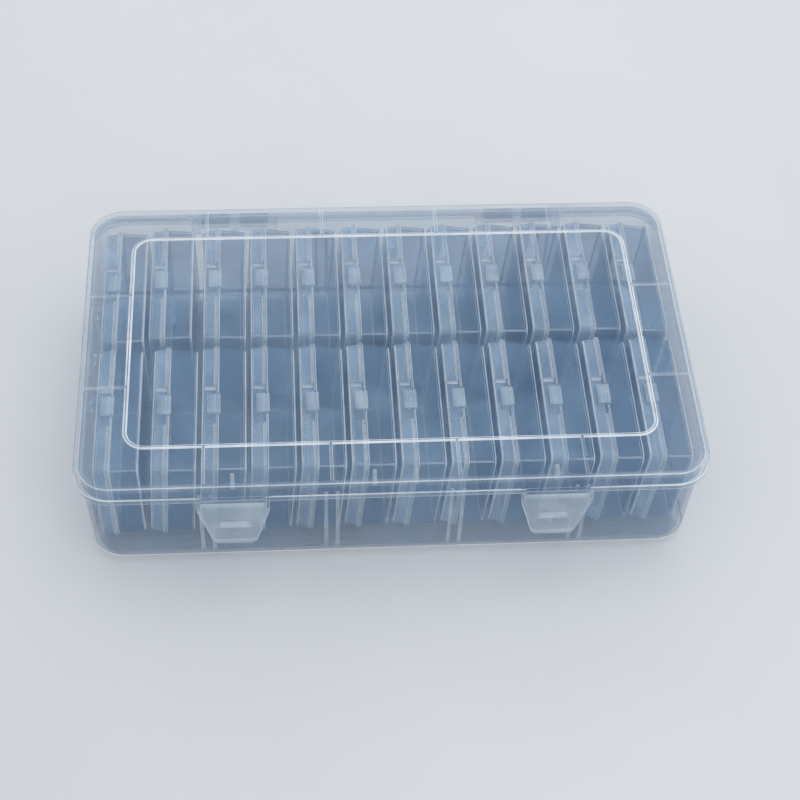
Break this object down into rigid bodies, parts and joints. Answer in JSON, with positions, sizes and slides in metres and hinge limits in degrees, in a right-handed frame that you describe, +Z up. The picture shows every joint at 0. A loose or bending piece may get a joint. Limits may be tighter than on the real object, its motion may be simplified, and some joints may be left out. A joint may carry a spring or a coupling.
{
  "type": "craft storage box",
  "caption": "Clear plastic craft storage box with a hinged lid and flap latches at the front, holding rows of small flip-lid cases stood on edge.",
  "frame": {"origin": "middle of the flat underside of the base", "axes": "+X along the width to the right, -Y to the front with the latches, +Y to the back with the hinges, +Z up"},
  "size_m": [0.2656, 0.1672, 0.0566],
  "materials": {
    "clear_shell": "clear, slightly hazy moulded polypropylene",
    "frosted_latch": "frosted moulded polypropylene",
    "small_case": "clear, slightly hazy moulded polypropylene"
  },
  "bodies": {
    "base": {"outer_base": "clear_shell"},
    "lid": {"outer_lid": "clear_shell"},
    "left latch": {"latch_left": "frosted_latch"},
    "right latch": {"latch_right": "frosted_latch"},
    "tray front_01": {"small_tray_front_01": "small_case"},
    "case lid front_01": {"small_lid_front_01": "small_case"},
    "tray front_02": {"small_tray_front_02": "small_case"},
    "case lid front_02": {"small_lid_front_02": "small_case"},
    "tray front_03": {"small_tray_front_03": "small_case"},
    "case lid front_03": {"small_lid_front_03": "small_case"},
    "tray front_04": {"small_tray_front_04": "small_case"},
    "case lid front_04": {"small_lid_front_04": "small_case"},
    "tray front_05": {"small_tray_front_05": "small_case"},
    "case lid front_05": {"small_lid_front_05": "small_case"},
    "tray front_06": {"small_tray_front_06": "small_case"},
    "case lid front_06": {"small_lid_front_06": "small_case"},
    "tray front_07": {"small_tray_front_07": "small_case"},
    "case lid front_07": {"small_lid_front_07": "small_case"},
    "tray front_08": {"small_tray_front_08": "small_case"},
    "case lid front_08": {"small_lid_front_08": "small_case"},
    "tray front_09": {"small_tray_front_09": "small_case"},
    "case lid front_09": {"small_lid_front_09": "small_case"},
    "tray front_10": {"small_tray_front_10": "small_case"},
    "case lid front_10": {"small_lid_front_10": "small_case"},
    "tray front_11": {"small_tray_front_11": "small_case"},
    "case lid front_11": {"small_lid_front_11": "small_case"},
    "tray front_12": {"small_tray_front_12": "small_case"},
    "case lid front_12": {"small_lid_front_12": "small_case"},
    "tray back_01": {"small_tray_back_01": "small_case"},
    "case lid back_01": {"small_lid_back_01": "small_case"},
    "tray back_02": {"small_tray_back_02": "small_case"},
    "case lid back_02": {"small_lid_back_02": "small_case"},
    "tray back_03": {"small_tray_back_03": "small_case"},
    "case lid back_03": {"small_lid_back_03": "small_case"},
    "tray back_04": {"small_tray_back_04": "small_case"},
    "case lid back_04": {"small_lid_back_04": "small_case"},
    "tray back_05": {"small_tray_back_05": "small_case"},
    "case lid back_05": {"small_lid_back_05": "small_case"},
    "tray back_06": {"small_tray_back_06": "small_case"},
    "case lid back_06": {"small_lid_back_06": "small_case"},
    "tray back_07": {"small_tray_back_07": "small_case"},
    "case lid back_07": {"small_lid_back_07": "small_case"},
    "tray back_08": {"small_tray_back_08": "small_case"},
    "case lid back_08": {"small_lid_back_08": "small_case"},
    "tray back_09": {"small_tray_back_09": "small_case"},
    "case lid back_09": {"small_lid_back_09": "small_case"},
    "tray back_10": {"small_tray_back_10": "small_case"},
    "case lid back_10": {"small_lid_back_10": "small_case"},
    "tray back_11": {"small_tray_back_11": "small_case"},
    "case lid back_11": {"small_lid_back_11": "small_case"},
    "tray back_12": {"small_tray_back_12": "small_case"},
    "case lid back_12": {"small_lid_back_12": "small_case"}
  },
  "joints": [
    {"name": "lid_hinge", "type": "hinge", "parent": "base", "child": "lid", "pos_m": [0, 0.0816, 0.0458], "axis": [-1, 0, 0], "range_deg": [0, 180]},
    {"name": "left_latch_hinge", "type": "hinge", "parent": "lid", "child": "left latch", "pos_m": [-0.067, -0.0803, 0.0447], "axis": [-1, 0, 0], "range_deg": [-5, 100]},
    {"name": "right_latch_hinge", "type": "hinge", "parent": "lid", "child": "right latch", "pos_m": [0.067, -0.0803, 0.0447], "axis": [-1, 0, 0], "range_deg": [-5, 100]},
    {"name": "lift_front_01", "type": "slide", "parent": "base", "child": "tray front_01", "axis": [0, 0, 1], "range_m": [0, 0.0009]},
    {"name": "case_hinge_front_01", "type": "hinge", "parent": "tray front_01", "child": "case lid front_01", "pos_m": [-0.11855, -0.0332, 0.0037], "axis": [0, -1, 0], "range_deg": [0, 1]},
    {"name": "lift_front_02", "type": "slide", "parent": "base", "child": "tray front_02", "axis": [0.0698, 0, 0.9976], "range_m": [0, 0.0009]},
    {"name": "case_hinge_front_02", "type": "hinge", "parent": "tray front_02", "child": "case lid front_02", "pos_m": [-0.09802, -0.0332, 0.0037], "axis": [0, -1, 0], "range_deg": [0, 4]},
    {"name": "lift_front_03", "type": "slide", "parent": "base", "child": "tray front_03", "axis": [0.0698, 0, 0.9976], "range_m": [0, 0.0009]},
    {"name": "case_hinge_front_03", "type": "hinge", "parent": "tray front_03", "child": "case lid front_03", "pos_m": [-0.0772, -0.0332, 0.0037], "axis": [0, -1, 0], "range_deg": [0, 1]},
    {"name": "lift_front_04", "type": "slide", "parent": "base", "child": "tray front_04", "axis": [0.0698, 0, 0.9976], "range_m": [0, 0.0009]},
    {"name": "case_hinge_front_04", "type": "hinge", "parent": "tray front_04", "child": "case lid front_04", "pos_m": [-0.05638, -0.0332, 0.0037], "axis": [0, -1, 0], "range_deg": [0, 1]},
    {"name": "lift_front_05", "type": "slide", "parent": "base", "child": "tray front_05", "axis": [0.0698, 0, 0.9976], "range_m": [0, 0.0009]},
    {"name": "case_hinge_front_05", "type": "hinge", "parent": "tray front_05", "child": "case lid front_05", "pos_m": [-0.03557, -0.0332, 0.0037], "axis": [0, -1, 0], "range_deg": [0, 1]},
    {"name": "lift_front_06", "type": "slide", "parent": "base", "child": "tray front_06", "axis": [0.0698, 0, 0.9976], "range_m": [0, 0.0009]},
    {"name": "case_hinge_front_06", "type": "hinge", "parent": "tray front_06", "child": "case lid front_06", "pos_m": [-0.01475, -0.0332, 0.0037], "axis": [0, -1, 0], "range_deg": [0, 1]},
    {"name": "lift_front_07", "type": "slide", "parent": "base", "child": "tray front_07", "axis": [0.0698, 0, 0.9976], "range_m": [0, 0.0009]},
    {"name": "case_hinge_front_07", "type": "hinge", "parent": "tray front_07", "child": "case lid front_07", "pos_m": [0.00607, -0.0332, 0.0037], "axis": [0, -1, 0], "range_deg": [0, 1]},
    {"name": "lift_front_08", "type": "slide", "parent": "base", "child": "tray front_08", "axis": [0.0698, 0, 0.9976], "range_m": [0, 0.0009]},
    {"name": "case_hinge_front_08", "type": "hinge", "parent": "tray front_08", "child": "case lid front_08", "pos_m": [0.02689, -0.0332, 0.0037], "axis": [0, -1, 0], "range_deg": [0, 1]},
    {"name": "lift_front_09", "type": "slide", "parent": "base", "child": "tray front_09", "axis": [0.0698, 0, 0.9976], "range_m": [0, 0.0009]},
    {"name": "case_hinge_front_09", "type": "hinge", "parent": "tray front_09", "child": "case lid front_09", "pos_m": [0.04771, -0.0332, 0.0037], "axis": [0, -1, 0], "range_deg": [0, 1]},
    {"name": "lift_front_10", "type": "slide", "parent": "base", "child": "tray front_10", "axis": [0.0698, 0, 0.9976], "range_m": [0, 0.0009]},
    {"name": "case_hinge_front_10", "type": "hinge", "parent": "tray front_10", "child": "case lid front_10", "pos_m": [0.06853, -0.0332, 0.0037], "axis": [0, -1, 0], "range_deg": [0, 1]},
    {"name": "lift_front_11", "type": "slide", "parent": "base", "child": "tray front_11", "axis": [0.0698, 0, 0.9976], "range_m": [0, 0.0009]},
    {"name": "case_hinge_front_11", "type": "hinge", "parent": "tray front_11", "child": "case lid front_11", "pos_m": [0.08935, -0.0332, 0.0037], "axis": [0, -1, 0], "range_deg": [0, 1]},
    {"name": "lift_front_12", "type": "slide", "parent": "base", "child": "tray front_12", "axis": [0.0698, 0, 0.9976], "range_m": [0, 0.0009]},
    {"name": "case_hinge_front_12", "type": "hinge", "parent": "tray front_12", "child": "case lid front_12", "pos_m": [0.11017, -0.0332, 0.0037], "axis": [0, -1, 0], "range_deg": [0, 1]},
    {"name": "lift_back_01", "type": "slide", "parent": "base", "child": "tray back_01", "axis": [0, 0, 1], "range_m": [0, 0.0009]},
    {"name": "case_hinge_back_01", "type": "hinge", "parent": "tray back_01", "child": "case lid back_01", "pos_m": [-0.11855, 0.03715, 0.0037], "axis": [0, -1, 0], "range_deg": [0, 1]},
    {"name": "lift_back_02", "type": "slide", "parent": "base", "child": "tray back_02", "axis": [0, 0, 1], "range_m": [0, 0.0009]},
    {"name": "case_hinge_back_02", "type": "hinge", "parent": "tray back_02", "child": "case lid back_02", "pos_m": [-0.09774, 0.03865, 0.0037], "axis": [0, -1, 0], "range_deg": [0, 1]},
    {"name": "lift_back_03", "type": "slide", "parent": "base", "child": "tray back_03", "axis": [0.0698, 0, 0.9976], "range_m": [0, 0.0009]},
    {"name": "case_hinge_back_03", "type": "hinge", "parent": "tray back_03", "child": "case lid back_03", "pos_m": [-0.0772, 0.03865, 0.0037], "axis": [0, -1, 0], "range_deg": [0, 4]},
    {"name": "lift_back_04", "type": "slide", "parent": "base", "child": "tray back_04", "axis": [0.0698, 0, 0.9976], "range_m": [0, 0.0009]},
    {"name": "case_hinge_back_04", "type": "hinge", "parent": "tray back_04", "child": "case lid back_04", "pos_m": [-0.05638, 0.03865, 0.0037], "axis": [0, -1, 0], "range_deg": [0, 1]},
    {"name": "lift_back_05", "type": "slide", "parent": "base", "child": "tray back_05", "axis": [0.0698, 0, 0.9976], "range_m": [0, 0.0009]},
    {"name": "case_hinge_back_05", "type": "hinge", "parent": "tray back_05", "child": "case lid back_05", "pos_m": [-0.03557, 0.03865, 0.0037], "axis": [0, -1, 0], "range_deg": [0, 1]},
    {"name": "lift_back_06", "type": "slide", "parent": "base", "child": "tray back_06", "axis": [0.0698, 0, 0.9976], "range_m": [0, 0.0009]},
    {"name": "case_hinge_back_06", "type": "hinge", "parent": "tray back_06", "child": "case lid back_06", "pos_m": [-0.01475, 0.03865, 0.0037], "axis": [0, -1, 0], "range_deg": [0, 1]},
    {"name": "lift_back_07", "type": "slide", "parent": "base", "child": "tray back_07", "axis": [0.0698, 0, 0.9976], "range_m": [0, 0.0009]},
    {"name": "case_hinge_back_07", "type": "hinge", "parent": "tray back_07", "child": "case lid back_07", "pos_m": [0.00607, 0.03865, 0.0037], "axis": [0, -1, 0], "range_deg": [0, 1]},
    {"name": "lift_back_08", "type": "slide", "parent": "base", "child": "tray back_08", "axis": [0.0698, 0, 0.9976], "range_m": [0, 0.0009]},
    {"name": "case_hinge_back_08", "type": "hinge", "parent": "tray back_08", "child": "case lid back_08", "pos_m": [0.02689, 0.03865, 0.0037], "axis": [0, -1, 0], "range_deg": [0, 1]},
    {"name": "lift_back_09", "type": "slide", "parent": "base", "child": "tray back_09", "axis": [0.0698, 0, 0.9976], "range_m": [0, 0.0009]},
    {"name": "case_hinge_back_09", "type": "hinge", "parent": "tray back_09", "child": "case lid back_09", "pos_m": [0.04771, 0.03865, 0.0037], "axis": [0, -1, 0], "range_deg": [0, 1]},
    {"name": "lift_back_10", "type": "slide", "parent": "base", "child": "tray back_10", "axis": [0.0698, 0, 0.9976], "range_m": [0, 0.0009]},
    {"name": "case_hinge_back_10", "type": "hinge", "parent": "tray back_10", "child": "case lid back_10", "pos_m": [0.06853, 0.03865, 0.0037], "axis": [0, -1, 0], "range_deg": [0, 1]},
    {"name": "lift_back_11", "type": "slide", "parent": "base", "child": "tray back_11", "axis": [0.0698, 0, 0.9976], "range_m": [0, 0.0009]},
    {"name": "case_hinge_back_11", "type": "hinge", "parent": "tray back_11", "child": "case lid back_11", "pos_m": [0.08935, 0.03865, 0.0037], "axis": [0, -1, 0], "range_deg": [0, 1]},
    {"name": "lift_back_12", "type": "slide", "parent": "base", "child": "tray back_12", "axis": [0.0698, 0, 0.9976], "range_m": [0, 0.0009]},
    {"name": "case_hinge_back_12", "type": "hinge", "parent": "tray back_12", "child": "case lid back_12", "pos_m": [0.11017, 0.03715, 0.0037], "axis": [0, -1, 0], "range_deg": [0, 1]}
  ]
}
